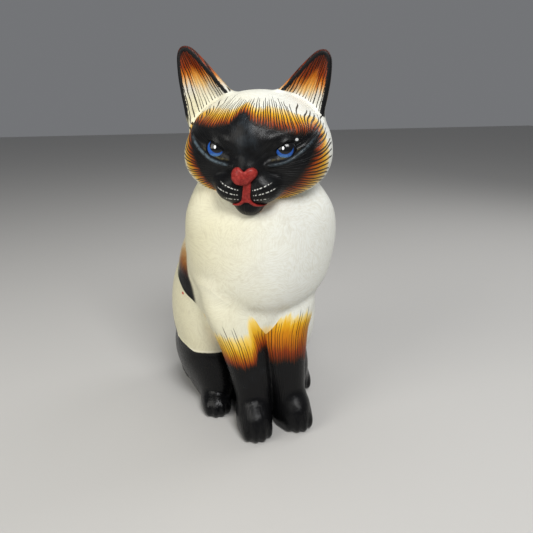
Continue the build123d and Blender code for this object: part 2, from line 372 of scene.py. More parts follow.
def foreleg_field(p, side):
    r = leg_side(p, side)
    leg = smax(loft(r, FORELEG, 2.3), r[:, 2] - LEG_TOP, 8)
    leg = smin(leg, paw_field(r, FOREPAW_AT[side], *FOREPAW), 9)
    return smax(leg, -r[:, 0], 2.0)


def ledge_height(p):
    """Height of the ledge under the thighs: it rises towards the rump, more so on the cat's right."""
    right = step(10, -10, p[:, 0])
    front, rear = LEDGE + RIGHT_LEDGE_FRONT * right, RIGHT_LEDGE_REAR * right
    return front + 0.17 * np.maximum(10 - p[:, 1], 0) + rear * step(10, 46, p[:, 1])


def thigh_field(p, side):
    r = sided(p, side)
    (out, half), _, _ = HAUNCHES[side]
    r[:, 0] += THIGH_LEAN * (74 - r[:, 2]) * (side > 0)
    f = blob(r, (out, 31, 74), (half, 46, 57))
    front = blob(r, (36, 2, 62), (15.5, 19.5, 31))
    return smax(smin(f, front, 13), ledge_height(p) - r[:, 2], 1.2)


def hind_field(p, side):
    r = sided(p, side)
    _, (out, half), hock_out = HAUNCHES[side]
    haunch = blob(r, (out, 27, 42), (half, 46, 36))
    hock = smin(haunch, blob(r, (hock_out, 25, 16), (18.5, 44, 26)), 10)
    knee = blob(r, (32, -4, 24), (14, 17, 22))
    f = smin(smin(hock, knee, 8), paw_field(r, HIND_PAW_AT[side], *HIND_PAW), 3.5)
    return smax(f, r[:, 2] - ledge_height(p) - 6, 4)


def tail_field(p, _):
    return tube(p, TAIL_ROUTE, TAIL_R)


def torso_field(p, _):
    f = smin(chest_field(p), flank_field(p), 3 + 24 * step(2, 36, p[:, 1]))
    return smax(f, p[:, 2] - TORSO_TOP, 4)


def chest_field(p):
    """The torso's core with the chest, the crease under it and the small swell between the legs."""
    f = smin(loft(p, TORSO), blob(p, (2, -20, 124), (47, 38.5, 46)), 12)
    crease = np.exp(-(((p[:, 2] - 93 - 0.006 * p[:, 0] ** 2) / 7) ** 2)) * step(0, -20, p[:, 1])
    return smin(f + 2.0 * crease, blob(p, (-2, -33, 89), (15, 17, 15)), 9)


def flank_field(p):
    """The ribs and back behind the chest, on both sides."""
    ribs = [blob(p, (x, 15.5, 109), (37.2, 40, 47)) for x in (-20, 20)]
    return smin(np.minimum(*ribs), blob(p, (0, 30, 112), (40, 34, 56)), 20)


def torso_core(p, inset):
    """The torso's core, drawn in by a distance on every side."""
    return loft(p, [(z, x, y, a - inset, b - inset) for z, x, y, a, b in TORSO])


# Each lump of the body: field, side, blend onto those before it, slot and look
LUMPS = {
    "body_shell": (torso_field, 0, 0, "body", "torso"),
    "foreleg_right": (foreleg_field, -1, 9, "forelegs", "leg_right"),
    "foreleg_left": (foreleg_field, 1, 3.5, "forelegs", "leg_left"),
    "thigh_right": (thigh_field, -1, 2.5, "thighs", "thigh"),
    "thigh_left": (thigh_field, 1, 2.5, "thighs", "thigh"),
    "hind_foot_right": (hind_field, -1, 2.5, "hind_feet", "black"),
    "hind_foot_left": (hind_field, 1, 2.5, "hind_feet", "black"),
    "tail": (tail_field, 0, 3.5, "tail", "black"),
}


def body_lumps(p):
    """The field of every lump of the body."""
    return {name: make(p, side) for name, (make, side, *_) in LUMPS.items()}


def body_field(p):
    """The whole body in one, cut flat at the floor and open at the foot for the base plate."""
    lumps = body_lumps(p)
    f = lumps["body_shell"]
    for name, (_, _, blend, *_) in LUMPS.items():
        if blend:
            f = smin(f, lumps[name], blend)
    f = smax(f, -p[:, 2], 1.6)
    hollow = smax(torso_core(p, WALL), p[:, 2] - FOOT_HOLLOW, 1)
    return smax(f, -hollow, 0.8)


# ---- meshing
def sample(field, lo, n, cell):
    """Field values on a grid, worked out finely only near the surface."""
    block = 6
    nb = -(-n // block)
    ids = np.stack(np.meshgrid(*(np.arange(k) for k in nb), indexing="ij"), -1).reshape(-1, 3)
    centre = lo + cell * (ids * block + (block - 1) / 2)
    rough = field(centre)
    vals = np.empty(tuple(nb * block), np.float32)
    tiles = rough.astype(np.float32).reshape(tuple(nb))
    vals[:] = np.kron(tiles, np.ones((block,) * 3, np.float32))
    near = np.abs(rough) < cell * block * 1.5
    local = np.stack(np.meshgrid(*(np.arange(block),) * 3, indexing="ij"), -1).reshape(-1, 3)
    for part in np.array_split(ids[near], max(1, near.sum() // 600)):
        at = (part[:, None] * block + local[None]).reshape(-1, 3)
        vals[at[:, 0], at[:, 1], at[:, 2]] = field(lo + cell * at)
    return vals[: n[0], : n[1], : n[2]]


def slope(field, v, reach=0.12):
    """Gradient of a field at points."""
    return np.stack([(field(v + e) - field(v - e)) / (2 * reach) for e in np.eye(3) * reach], 1)


def surface(field, lo, hi, cell, rounds=3):
    """The zero level of a field in a box, as vertices and quads that face outwards."""
    lo, hi = np.array(lo, float), np.array(hi, float)
    n = np.ceil((hi - lo) / cell).astype(int) + 1
    vals = sample(field, lo, n, cell)
    inside = vals < 0
    cells, crossings, quads = [], [], []
    for a in range(3):
        b, c = (a + 1) % 3, (a + 2) % 3
        first = tuple(slice(0, -1) if i == a else slice(None) for i in range(3))
        second = tuple(slice(1, None) if i == a else slice(None) for i in range(3))
        flip = inside[first] != inside[second]
        at = np.argwhere(flip)
        v0, v1 = vals[first][flip], vals[second][flip]
        point = lo + cell * at
        point[:, a] += cell * v0 / (v0 - v1)
        four = []
        for db, dc in ((-1, -1), (0, -1), (0, 0), (-1, 0)):
            cell_at = at.copy()
            cell_at[:, b] += db
            cell_at[:, c] += dc
            four.append((cell_at[:, 0] * n[1] + cell_at[:, 1]) * n[2] + cell_at[:, 2])
            crossings.append(point)
        quad = np.stack(four, 1)
        quad[v0 > 0] = quad[v0 > 0][:, ::-1]
        cells.extend(four)
        quads.append(quad)
    ids, where = np.unique(np.concatenate(cells), return_inverse=True)
    crossings = np.concatenate(crossings)
    total = np.bincount(where)
    v = np.stack([np.bincount(where, crossings[:, i]) / total for i in range(3)], 1)
    quads = np.searchsorted(ids, np.concatenate(quads))
    for _ in range(rounds):
        g = slope(field, v)
        move = -field(v)[:, None] * g / np.maximum((g * g).sum(1), 0.05)[:, None]
        v = v + np.clip(move, -cell, cell)
    return v, quads


def clip(v, faces, value):
    """The part of a surface where the per-vertex value is negative: its vertices and faces."""
    neg = value < 0
    count = neg[faces].sum(1)
    kept = faces[count == faces.shape[1]]
    mixed = faces[(count > 0) & (count < faces.shape[1])]
    new, made, polys = [], {}, []
    for face in mixed:
        poly = []
        for i, j in zip(face, np.roll(face, -1)):
            if neg[i]:
                poly.append(int(i))
            if neg[i] != neg[j]:
                key = (min(i, j), max(i, j))
                if key not in made:
                    a, b = key
                    t = value[a] / (value[a] - value[b])
                    made[key] = len(v) + len(new)
                    new.append(v[a] + (v[b] - v[a]) * t)
                poly.append(made[key])
        polys.append(poly)
    allv = np.concatenate([v, np.array(new)]) if new else v
    polys = [*kept, *polys]
    used = np.unique(np.concatenate(polys))
    return allv[used], [np.searchsorted(used, f) for f in polys]


def close_up(bm, depth):
    """Turns the open edges of a piece inwards and closes them, so that the piece is a solid."""
    bm.normal_update()
    rim = [e for e in bm.edges if e.is_boundary]
    if not rim:
        return
    out = {w: w.normal.copy() for e in rim for w in e.verts}
    made = bmesh.ops.extrude_edge_only(bm, edges=rim)["geom"]
    fresh = [g for g in made if isinstance(g, bmesh.types.BMVert)]
    for w in fresh:
        old = [x for e in w.link_edges for x in e.verts if x in out]
        near = min(old, key=lambda x: (x.co - w.co).length)
        w.co -= out[near] * depth
    loops = [g for g in made if isinstance(g, bmesh.types.BMEdge)]
    for e in rim + loops:
        e.smooth = False
    filled = bmesh.ops.holes_fill(bm, edges=[e for e in loops if e.is_boundary], sides=0)["faces"]
    bmesh.ops.triangulate(bm, faces=[f for f in filled if len(f.verts) > 4])


def piece(name, v, faces, nodes, slot, look):
    """A closed piece from vertices in millimetres, standing for those CAD nodes."""
    material, marks = looks[look]
    mesh = bpy.data.meshes.new(name)
    mesh.from_pydata([tuple(w) for w in v * MM], [], [list(map(int, f)) for f in faces])
    mesh.update()
    bm = bmesh.new()
    bm.from_mesh(mesh)
    close_up(bm, TURNED_IN * MM)
    bmesh.ops.recalc_face_normals(bm, faces=bm.faces)
    for f in bm.faces:
        f.smooth = True
    bm.to_mesh(mesh)
    bm.free()
    obj = bpy.data.objects.new(name, mesh)
    bpy.context.scene.collection.objects.link(obj)
    flat = np.empty(len(mesh.vertices) * 3, np.float32)
    mesh.vertices.foreach_get("co", flat)
    p = flat.reshape(-1, 3).astype(float) / MM
    for key, data in {"mm": p, **marks(p)}.items():
        kind = "FLOAT_VECTOR" if data.ndim == 2 else "FLOAT"
        layer = mesh.attributes.new(key, kind, "POINT")
        layer.data.foreach_set("vector" if data.ndim == 2 else "value", data.astype(np.float32).ravel())
    mesh.materials.append(material)
    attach(obj, "root")
    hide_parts(*nodes)
    return obj


# ---- marks for the paint
# The mask's edge, as (azimuth, elevation) in degrees seen from the middle of the head, round from the chin;
# then how wide the orange band outside it is there, and how far its hairs reach.
MASK = [
    (0, -50, 3, 2), (-9, -50, 3, 3), (-18, -44, 4, 5), (-28, -34, 8, 9), (-36, -22, 15, 18),
    (-41, -10, 17, 21), (-47, 0, 17, 22), (-57, 9, 14, 21), (-68, 15, 11, 18), (-72, 18.5, 12, 22),
    (-62, 19, 18, 32), (-48, 18.5, 20, 41), (-33, 18, 20, 42), (-22, 20, 19, 40), (-14, 23, 17, 37),
    (-8, 29, 16, 35), (-4, 31.5, 16, 34), (-0.5, 28.5, 18, 35), (4, 22.5, 21, 39), (11, 19.5, 24, 42),
    (22, 17, 25, 44), (34, 13.5, 24, 43), (44, 12, 22, 38), (54, 13.5, 18, 31), (62, 15, 13, 25),
    (58, 9, 17, 27), (51, 1, 24, 36), (45, -8, 27, 40), (40, -16, 27, 40), (34, -24, 24, 35),
    (25, -28, 19, 22), (17.5, -34.5, 13, 14), (10, -43, 7, 6),
]
BROW = slice(9, 25)  # the rows of the mask that run along the brow, from the cat's right to its left
ARC = 0.85  # millimetres on the head for each degree
MASK_RADIUS = 44.0  # turns the angle about the nose into millimetres along the mask


GOLD_ABOVE_LID = 3.0
# Where a painted glint sits by the outer corner of the cat's left eye, in the head's X and Z
CORNER_GLINT_AT = np.array((31.5, 0, 8.6))


def mask_marks(q):
    """How far outside the mask's edge, how far along it, and the widths of band and hairs there."""
    az = np.degrees(np.arctan2(q[:, 0], -q[:, 1]))
    el = np.degrees(np.arctan2(q[:, 2], np.hypot(q[:, 0], q[:, 1])))
    ring = smooth_line(MASK, 160, closed=True)
    signed = inside_outline(az, el, [m[:2] for m in MASK])
    _, along = line_distance(az, el, ring[:, :2])
    place = along * (len(ring) - 1)
    at = np.arange(len(ring))
    brow = np.array(MASK, float)[BROW]
    above = (el - track(az, brow[:, 0], brow[:, 1])) * ARC
    on_brow = step(-70, -62, az) * step(66, 58, az) * step(-2, 1, above)
    upright = az * ARC * np.cos(np.radians(el)) ** 0.6
    outward = np.arctan2(az + 2, el + 15) * MASK_RADIUS  # the hairs point away from the nose
    brushed_up = step(66, 38, np.abs(az)) * step(-4, 2, above)
    return {
        "mask_d": above * on_brow + signed * ARC * (1 - on_brow),
        "mask_u": outward + (upright - outward) * brushed_up,
        "band": np.interp(place, at, ring[:, 2]),
        "reach": np.interp(place, at, ring[:, 3]),
    }


def head_marks(p):
    """Marks for the head's paint: lid and gold run under each eye, lid where a painted highlight lies on
    the raised rim; spark places a painted glint by the left eye's outer corner.
    """
    q = to_head(p)
    m = both(q, EYES_MIDDLE)
    front = step(-4, -14, q[:, 1])
    rim, along = line_distance(m[:, 0], m[:, 2], LID_RIM)
    ends = step(0, 0.15, along) * step(1.0, 0.9, along)
    gold, along = line_distance(m[:, 0], m[:, 2] - GOLD_ABOVE_LID, LID_RIM)
    gold_ends = step(0.35, 0.55, along) * step(1.0, 0.9, along)
    spark = q * (0, 1, 0) + CORNER_GLINT_AT
    return {
        "hm": q,
        "lid": step(1.3, 0.5, rim) * ends * front,
        "gold": step(0.9, 0.3, gold) * gold_ends * front,
        "spark": spark,
        **mask_marks(q),
    }


def no_marks(_):
    return {}


def ear_marks(side):
    def marks(p):
        q = to_head(p)
        x, z = ear_coordinates(q, side)
        up = np.clip((z - 14) / 52, 0, 1)
        half, middle = ear_section(up)
        depth = (q[:, 1] - middle) / half
        fan = np.arctan2(x - 60, 92 - z) * 58
        return {
            "edge": ear_edge(x, z),
            "up": up,
            "tint": up - (0.08 if side < 0 else 0.0),  # the colours start higher up on the right ear
            "fan": fan,
            "front": step(0.35, -0.05, depth),
            "inner": step(3, -3, x - 31 - 0.42 * (z - 12)),  # 1 on the half towards the other ear
        }

    return marks


def eye_marks(side):
    def marks(p):
        return {"eye": to_head(p) - EYE_PLACE[side]}

    return marks


def torso_marks(p):
    """flank is 1 on the shaded patches behind the chest, foot is the height above the black at the foot."""
    flank = step(-0.5, 1.5, chest_field(p) - flank_field(p)) * step(34, 14, p[:, 1]) * step(84, 90, p[:, 2])
    foot = p[:, 2] - (60 + 6 * step(20, 60, p[:, 1]))
    return {"flank": flank, "foot": foot}


def thigh_marks(p):
    """rise is the height above the black under the thigh."""
    rise = p[:, 2] - ledge_height(p) - 7 * step(12, 34, p[:, 1]) * step(10, -10, p[:, 0])
    return {"rise": rise}


def leg_marks(side):
    """turn is the distance round the leg from its front, outwards."""

    def marks(p):
        r = leg_side(p, side)
        rows = np.array(FORELEG, float)
        cx, cy = (track(r[:, 2], rows[:, 0], rows[:, i]) for i in (1, 2))
        return {"turn": np.arctan2(r[:, 0] - cx, cy - r[:, 1]) * LEG_RADIUS}

    return marks


# ---- paint
class Paint:
    """A node material, one method per kind of node. Values may be numbers, tuples or sockets."""

    def __init__(self, name):
        self.mat = bpy.data.materials.new(name)
        self.mat.use_nodes = True
        self.tree = self.mat.node_tree
        self.shader = self.tree.nodes["Principled BSDF"]

    def feed(self, node, inputs):
        """Sets or links the inputs of a node, from a dictionary."""
        for key, value in inputs.items():
            socket = node.inputs[key]
            if isinstance(value, bpy.types.NodeSocket):
                self.tree.links.new(value, socket)
            elif isinstance(value, tuple) and len(value) < len(socket.default_value):
                socket.default_value = (*value, 1)
            else:
                socket.default_value = value

    def node(self, kind, inputs, output=0, **settings):
        """A new node's output, or all of its outputs."""
        n = self.tree.nodes.new("ShaderNode" + kind)
        for key, value in settings.items():
            setattr(n, key, value)
        self.feed(n, inputs)
        return n.outputs if output == "all" else n.outputs[output]

    def math(self, op, a, b=0.0, clamp=False):
        return self.node("Math", {0: a, 1: b}, operation=op, use_clamp=clamp)

    plus = partialmethod(math, "ADD")
    minus = partialmethod(math, "SUBTRACT")
    times = partialmethod(math, "MULTIPLY")
    over = partialmethod(math, "DIVIDE")

    def vector(self, op, a, b=(0.0, 0.0, 0.0)):
        output = "Value" if op in ("DISTANCE", "LENGTH") else "Vector"
        return self.node("VectorMath", {0: a, 1: b}, output, operation=op)

    def mark(self, name, output="Fac"):
        return self.node("Attribute", {}, output, attribute_name=name)

    def place(self, name):
        return self.mark(name, "Vector")

    def split(self, vector):
        return self.node("SeparateXYZ", {0: vector}, "all")

    def join(self, x, y, z=0.0):
        return self.node("CombineXYZ", {0: x, 1: y, 2: z})

    def noise(self, at, scale=1.0, detail=3.0, rough=0.5, output="Fac"):
        inputs = {"Vector": at, "Scale": scale, "Detail": detail, "Roughness": rough}
        return self.node("TexNoise", inputs, output)

    def grain(self, at, finer, **kind):
        """Noise so many times finer, along every axis or each."""
        finer = finer if isinstance(finer, tuple) else (finer,) * 3
        return self.noise(self.vector("MULTIPLY", at, finer), **kind)

    def swing(self, noise, size):
        """Noise swinging that far about 0."""
        return self.times(self.minus(noise, 0.5), size)

    def random(self, value):
        return self.node("TexWhiteNoise", {"W": value}, "Value", noise_dimensions="1D")

    def ease(self, value, lo, hi):
        """Smooth 0 to 1 as value goes from lo to hi; lo may be the larger."""
        ends = {"From Min": lo, "From Max": hi, "To Min": 0.0, "To Max": 1.0}
        if lo > hi:
            ends = {"From Min": hi, "From Max": lo, "To Min": 1.0, "To Max": 0.0}
        return self.node("MapRange", {"Value": value, **ends}, "Result", interpolation_type="SMOOTHSTEP")

    def mix(self, share, a, b):
        return self.node("Mix", {0: share, 6: a, 7: b}, 2, data_type="RGBA")

    def wash(self, share, strength, under, over):
        """One colour laid over another, as strong as given where the share is 1."""
        return self.mix(self.times(share, strength), under, over)

    def blend(self, share, a, b):
        """Mix of two numbers."""
        return self.node("Mix", {0: share, 2: a, 3: b}, 0, data_type="FLOAT")

    def ramp(self, value, stops):
        colour = self.node("ValToRGB", {0: value})
        ramp = colour.node.color_ramp
        while len(ramp.elements) < len(stops):
            ramp.elements.new(0.5)
        for element, (at, tint) in zip(ramp.elements, stops):
            element.position, element.color = at, (*tint, 1)
        return colour

    def finish(self, colour, rough, height, depth=0.1, gloss=0.2):
        """Colour, roughness and a bump whose height is in units of depth millimetres."""
        bump = self.node("Bump", {"Strength": 1.0, "Distance": depth * MM, "Height": height})
        looks = {"Specular IOR Level": gloss, "Base Color": colour, "Roughness": rough, "Normal": bump}
        self.feed(self.shader, looks)
        return self.mat


# Paint colours, linear
# The third colour here is cream greyed as painted shade, used low on the torso and on the forelegs.
CREAM, WHITE, PAINTED_SHADE = (0.75, 0.71, 0.5), (0.78, 0.79, 0.735), (0.47, 0.46, 0.37)
STROKE_SHADE, GRIME, FLECK = (0.5, 0.44, 0.29), (0.42, 0.36, 0.25), (0.16, 0.12, 0.08)
# The two greys after black are painted sheen laid on black paint.
BLACK, SHEEN_GREY, RIDGE_SHEEN = (0.003, 0.003, 0.0034), (0.022, 0.027, 0.032), (0.026, 0.034, 0.042)
UMBER, RUST, ORANGE = (0.04, 0.008, 0.002), (0.25, 0.035, 0.003), (0.47, 0.14, 0.004)
YELLOW, STRAW, HONEY = (0.7, 0.38, 0.016), (0.8, 0.57, 0.22), (0.56, 0.22, 0.005)
AMBER, BROWN = (0.52, 0.3, 0.11), (0.3, 0.1, 0.012)
LEG_HAIR, MASK_HAIR, EAR_HAIR = (0.018, 0.009, 0.004), (0.012, 0.008, 0.005), (0.012, 0.007, 0.004)
# The first colour here is a painted highlight along the edge of the thigh's ledge.
LEDGE_HIGHLIGHT, RED_DOT = (0.86, 0.82, 0.66), (0.55, 0.05, 0.02)
# The first colour here is a painted highlight for the raised rim under each eye.
LID_HIGHLIGHT, LID_GOLD = (0.09, 0.125, 0.15), (0.12, 0.095, 0.035)
# The first colour here is a painted glint by the left eye.
CORNER_GLINT_WHITE, WHISKER = (0.75, 0.76, 0.76), (0.66, 0.66, 0.62)
DEEP_BLUE, SKY_BLUE, INK_BLUE = (0.012, 0.095, 0.42), (0.18, 0.42, 0.8), (0.008, 0.03, 0.2)
# The second colour here is the eye's painted highlight.
PUPIL, GLINT = (0.004, 0.004, 0.005), (0.9, 0.92, 0.95)
DISC_SOFT = 0.35  # millimetres, on the iris and the pupil
DARK_RED, LIGHT_RED = (0.21, 0.014, 0.012), (0.36, 0.04, 0.032)
CLAY, PALE_CLAY, GRIT = (0.5, 0.4, 0.28), (0.62, 0.55, 0.43), (0.26, 0.18, 0.11)

# Colours from a dark edge (0) out to the cream (1)
FRINGE = [
    (0.0, BLACK), (0.07, UMBER), (0.18, RUST), (0.34, ORANGE), (0.56, YELLOW), (0.78, STRAW), (1.0, CREAM),
]
FLANK_SHADE = [(0.0, CREAM), (0.3, AMBER), (0.55, BROWN), (0.8, UMBER), (0.95, BLACK)]
LEG_FRINGE = {
    1: [
        (0.0, BLACK), (0.06, UMBER), (0.24, RUST), (0.46, ORANGE), (0.66, HONEY), (0.8, YELLOW),
        (0.91, (0.76, 0.6, 0.22)), (1.0, CREAM),
    ],
    -1: [
        (0.0, BLACK), (0.07, UMBER), (0.18, RUST), (0.34, ORANGE), (0.55, YELLOW),
        (0.8, (0.8, 0.56, 0.12)), (1.0, CREAM),
    ],
}
LEG_BLACK = 55.5  # height where the black of a foreleg begins
LEG_CREAM, LEG_HAIR_REACH = {1: 94.5, -1: 84.0}, {1: 44.0, -1: 37.0}
EAR_HOLLOW = [
    (0.42, (0.64, 0.62, 0.55)), (0.5, (0.68, 0.44, 0.21)), (0.58, (0.54, 0.16, 0.012)), (0.67, RUST),
    (0.9, (0.1, 0.012, 0.003)),
]
EAR_BACK = [(0.22, CREAM), (0.45, (0.74, 0.45, 0.1)), (0.68, ORANGE), (0.9, RUST)]
# Rows of whisker dashes: height, lean, curve, start, end, and dashes to a millimetre
WHISKERS = (
    (-23.6, 0.12, 0.013, 4.4, 17.5, 0.47),
    (-26.4, 0.0, 0.013, 4.8, 20.5, 0.43),
    (-29.6, 0.0, 0.006, 4.8, 15.5, 0.4),
)


def brushed(t, p):
    """Cream paint laid on with a small brush: (colour, bump height)."""
    drift = t.vector("SUBTRACT", t.grain(p, 0.03, detail=1.0, output="Color"), (0.5, 0.5, 0.5))
    q = t.vector("ADD", p, t.vector("MULTIPLY", drift, (38, 38, 38)))
    across = t.grain(q, (0.2, 0.2, 1.15), rough=0.62)
    upward = t.grain(q, (0.95, 0.95, 0.17), rough=0.62)
    patch = t.ease(t.grain(p, 0.045, detail=1.0), 0.42, 0.58)
    stroke = t.blend(patch, across, upward)
    broad = t.grain(p, 0.016, detail=2.0)
    side = t.ease(t.plus(t.split(p)[0], t.times(broad, 60)), -30, 45)
    base = t.mix(side, CREAM, WHITE)
    dull = t.ease(stroke, 0.6, 0.36)
    colour = t.wash(dull, 0.24, base, STROKE_SHADE)
    grime = t.ease(t.grain(p, 0.09, detail=4.0, rough=0.7), 0.52, 0.74)
    colour = t.wash(grime, 0.16, colour, GRIME)
    fleck = t.ease(t.noise(p, 1.3, detail=1.0), 0.8, 0.84)
    colour = t.wash(fleck, 0.5, colour, FLECK)
    return colour, stroke


def lacquer(t, p):
    """Black paint with soft grey-blue patches of painted sheen: (colour, bump height)."""
    sheen_patch = t.grain(p, 0.07, rough=0.6)
    rub = t.grain(p, (0.9, 0.9, 0.35), rough=0.7)
    share = t.times(t.ease(sheen_patch, 0.52, 0.8), t.ease(rub, 0.3, 0.75))
    return t.wash(share, 0.42, BLACK, SHEEN_GREY), rub


def hairs(t, across, along, spacing, width, length, waver):
    """Fine brush lines side by side: 1 on a line, fading out at its own length. All in millimetres."""
    sway = t.minus(t.noise(t.join(across, t.times(along, 0.6)), 0.16, detail=1.0), 0.5)
    place = t.over(t.plus(across, t.times(sway, waver * spacing * 6)), spacing)
    number = t.math("FLOOR", place)
    luck, other = t.random(number), t.random(t.plus(number, 71.3))
    off = t.swing(other, 0.45)
    away = t.times(t.math("ABSOLUTE", t.plus(t.minus(t.math("FRACT", place), 0.5), off)), spacing)
    reach = t.times(length, t.plus(0.55, t.times(luck, 0.55)))
    left = t.math("SUBTRACT", 1.0, t.over(along, reach), clamp=True)
    half = t.times(t.math("POWER", left, 0.35), width)
    edge = t.minus(half, away)
    return t.times(t.ease(edge, -0.12, 0.12), t.ease(left, 0.0, 0.06))


def paint_body():
    """Torso: cream, greyed by painted shade towards the bottom under the chest, with a dark shaded patch on
    each flank in front of the thigh and black at the foot.
    """
    t = Paint("torso_paint")
    p = t.place("mm")
    colour, stroke = brushed(t, p)
    black, rub = lacquer(t, p)
    z = t.split(p)[2]
    ragged = t.swing(t.grain(p, (1.1, 1.1, 0.12), rough=0.65), 16)
    low = t.over(t.minus(140.0, t.plus(z, ragged)), 30)
    shade = t.ramp(low, FLANK_SHADE)
    # painted shade: the cream greys towards the bottom of the torso, under the chest
    colour = t.mix(t.times(t.ease(z, 116, 84), 0.26), colour, PAINTED_SHADE)
    flank = t.times(t.mark("flank"), t.ease(low, 0.0, 0.12))
    colour = t.mix(flank, colour, shade)
    foot = t.plus(t.mark("foot"), t.times(ragged, 0.6))
    rise = t.times(foot, 0.035)
    colour = t.mix(t.ease(rise, 1.0, 0.85), colour, t.ramp(rise, FRINGE))
    dark = t.math("MAXIMUM", t.ease(foot, 2.0, 0.0), t.times(flank, t.ease(low, 0.85, 0.95)))
    colour = t.mix(dark, colour, black)
    rough = t.blend(dark, t.blend(stroke, 0.46, 0.26), 0.55)
    return t.finish(colour, rough, t.blend(dark, stroke, rub), 0.24)


def paint_thigh():
    """Thigh: cream down to its ledge with a painted highlight along the ledge's edge, and one stray dot of
    red at the front rim.
    """
    t = Paint("thigh_paint")
    p = t.place("mm")
    colour, stroke = brushed(t, p)
    black, rub = lacquer(t, p)
    wobble = t.swing(t.noise(p, 0.25, detail=2.0), 2.2)
    above = t.plus(t.mark("rise"), t.times(wobble, 0.5))
    # painted highlight: a pale line just above the ledge where its edge catches the light
    ledge_highlight = t.times(t.ease(above, 3.2, 1.8), t.ease(above, 0.6, 1.4))
    colour = t.wash(ledge_highlight, 0.8, colour, LEDGE_HIGHLIGHT)
    dot = t.vector("DISTANCE", t.vector("MULTIPLY", p, (1.0, 0.5, 1.0)), (-58.0, 3.5, 97.0))
    colour = t.mix(t.ease(dot, 1.9, 1.3), colour, RED_DOT)
    dark = t.ease(above, 0.7, 0.1)
    colour = t.mix(dark, colour, black)
    rough = t.blend(dark, t.blend(stroke, 0.52, 0.34), 0.26)
    return t.finish(colour, rough, t.blend(dark, stroke, rub), 0.28)


def paint_leg(name, side):
    """Foreleg: cream greyed all over by painted shade, yellow and orange brushed with dark hairs, then
    black down to the paw.
    """
    t = Paint(name)
    p = t.place("mm")
    z = t.split(p)[2]
    turn = t.mark("turn")
    colour, stroke = brushed(t, p)
    black, rub = lacquer(t, p)
    streak = t.noise(t.join(t.times(turn, 0.55), t.times(z, 0.05), 3.0 + side), rough=0.7)
    slow = t.noise(t.join(t.times(turn, 0.09), 2.0 + side, 0.0), detail=1.0)
    ragged = t.plus(t.swing(streak, 13), t.swing(slow, 10))
    level = t.plus(z, ragged)
    if side < 0:  # the fringe is higher up on the inner side of the right leg
        level = t.minus(level, t.times(t.ease(turn, -3, -8), 13))
    # painted shade: the leg's cream is greyed all over
    colour = t.mix(0.22, colour, PAINTED_SHADE)
    rise = t.over(t.minus(level, LEG_BLACK), LEG_CREAM[side] - LEG_BLACK)
    colour = t.mix(t.ease(rise, 1.0, 0.88), colour, t.ramp(rise, LEG_FRINGE[side]))
    line = hairs(t, turn, t.minus(z, 52.0), 1.7, 0.35, LEG_HAIR_REACH[side], 0.1)
    line = t.times(line, t.blend(t.random(t.math("FLOOR", t.over(turn, 1.7))), 0.5, 1.0))
    colour = t.mix(line, colour, LEG_HAIR)
    dark = t.ease(rise, 0.06, -0.02)
    colour = t.mix(dark, colour, black)
    rough = t.blend(dark, t.blend(stroke, 0.46, 0.3), 0.24)
    bump = t.minus(t.blend(dark, stroke, rub), t.times(line, 0.5))
    return t.finish(colour, rough, bump, 0.28)


def paint_black():
    t = Paint("black_paint")
    p = t.place("mm")
    colour, rub = lacquer(t, p)
    return t.finish(colour, t.blend(rub, 0.18, 0.34), rub, 0.22)


def whisker_dashes(t, q):
    """1 on the rows of short strokes on the whisker pads."""
    x, y, z = t.split(q)
    size = t.math("ABSOLUTE", x)
    square = t.times(size, size)
    whisker = 0.0
    for level, lean, curve, first, last, beat in WHISKERS:
        height = t.plus(level, t.plus(t.times(size, lean), t.times(square, curve)))
        off = t.math("ABSOLUTE", t.minus(z, height))
        beaten = t.math("FRACT", t.plus(t.times(size, beat), t.noise(q, 0.4, detail=0.0)))
        dash = t.times(t.ease(beaten, 0.22, 0.42), t.ease(beaten, 0.98, 0.82))
        thick = t.plus(0.2, t.times(t.noise(q, 0.8, detail=0.0), 0.22))
        stripe = t.ease(t.minus(thick, off), -0.1, 0.1)
        ends = t.times(t.ease(size, first, first + 0.8), t.ease(size, last, last - 2.5))
        front = t.ease(y, -36, -40)
        stripe = t.times(t.times(stripe, dash), t.times(ends, front))
        whisker = t.math("MAXIMUM", whisker, stripe)
    return whisker


